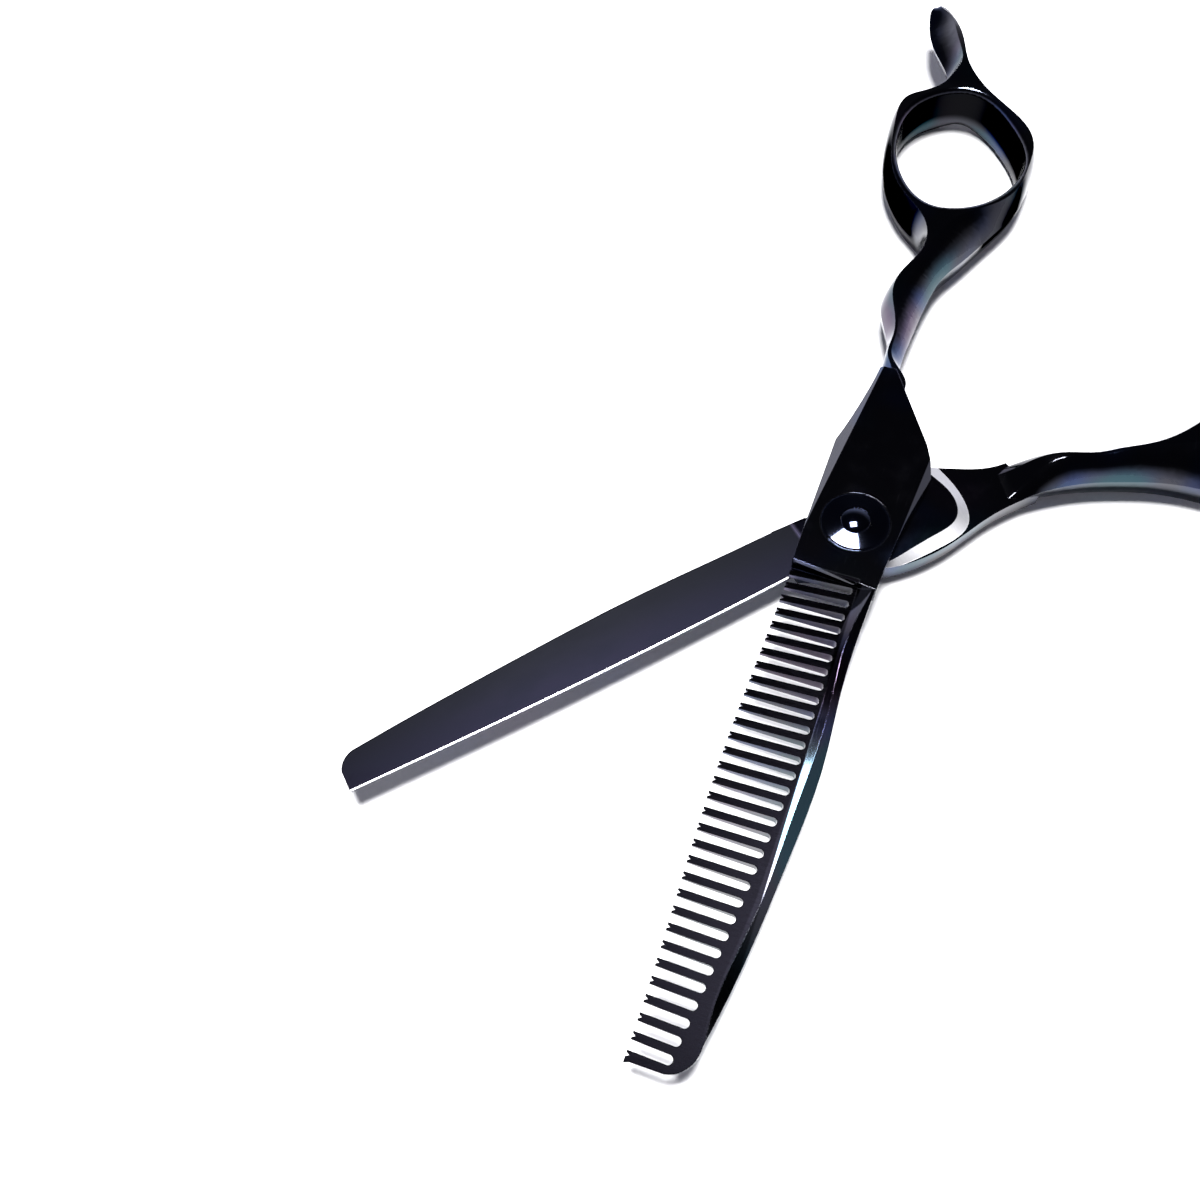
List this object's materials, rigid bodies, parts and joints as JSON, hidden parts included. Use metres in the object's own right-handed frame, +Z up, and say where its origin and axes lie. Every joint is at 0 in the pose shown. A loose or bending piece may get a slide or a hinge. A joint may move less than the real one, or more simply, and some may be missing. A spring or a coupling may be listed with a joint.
{
  "type": "thinning shears",
  "caption": "Hairdressing thinning shears with a toothed blade over a straight blade, ball-bearing pivot, tension dial, finger rest and rubber bumper.",
  "frame": {"origin": "on the pivot axis, at the surface the shears lie on", "axes": "+Z up along the pivot axis, +X from the pivot towards the comb blade's tip along the line of its tooth tips"},
  "size_m": [0.1766, 0.1197, 0.0082],
  "materials": {
    "coated_steel": "polished black vapour-deposited coating",
    "coated_blade": "black coated blade with ground bright edges",
    "coated_hardware": "polished black",
    "bearing_steel": "ground and polished",
    "spring_steel": "blued spring steel",
    "bush_bronze": "oiled bronze",
    "cage_brass": "stamped brass",
    "slide_polymer": "natural low-friction polymer",
    "bumper_rubber": "matt moulded rubber"
  },
  "bodies": {
    "comb_side": {"comb_half": "coated_steel", "pivot_bush": "bush_bronze", "lower_race": "bearing_steel"},
    "straight_side": {"straight_half": "coated_blade", "pivot_post": "coated_hardware", "post_key_pin": "bearing_steel", "ride_washer": "slide_polymer", "upper_race": "bearing_steel", "click_spring": "spring_steel", "bumper": "bumper_rubber", "bumper_stud": "bearing_steel"},
    "dial": {"tension_dial": "coated_hardware"},
    "bearing": {"ball_cage": "cage_brass", "bearing_balls": "bearing_steel"}
  },
  "joints": [
    {"name": "blade_pivot", "type": "hinge", "parent": "comb_side", "child": "straight_side", "pos_m": [0, 0, 0.004], "axis": [0, 0, 1], "range_deg": [-47, 39]},
    {"name": "ball_orbit", "type": "hinge", "parent": "comb_side", "child": "bearing", "pos_m": [0, 0, 0.0053], "axis": [0, 0, 1], "range_deg": [-24, 20]},
    {"name": "dial_turn", "type": "hinge", "parent": "straight_side", "child": "dial", "pos_m": [0, 0, 0.0065], "axis": [0, 0, 1], "range_deg": [-45, 45]}
  ],
  "couplings": [
    {"joint": "ball_orbit", "follows": "blade_pivot", "ratio": 0.5}
  ]
}
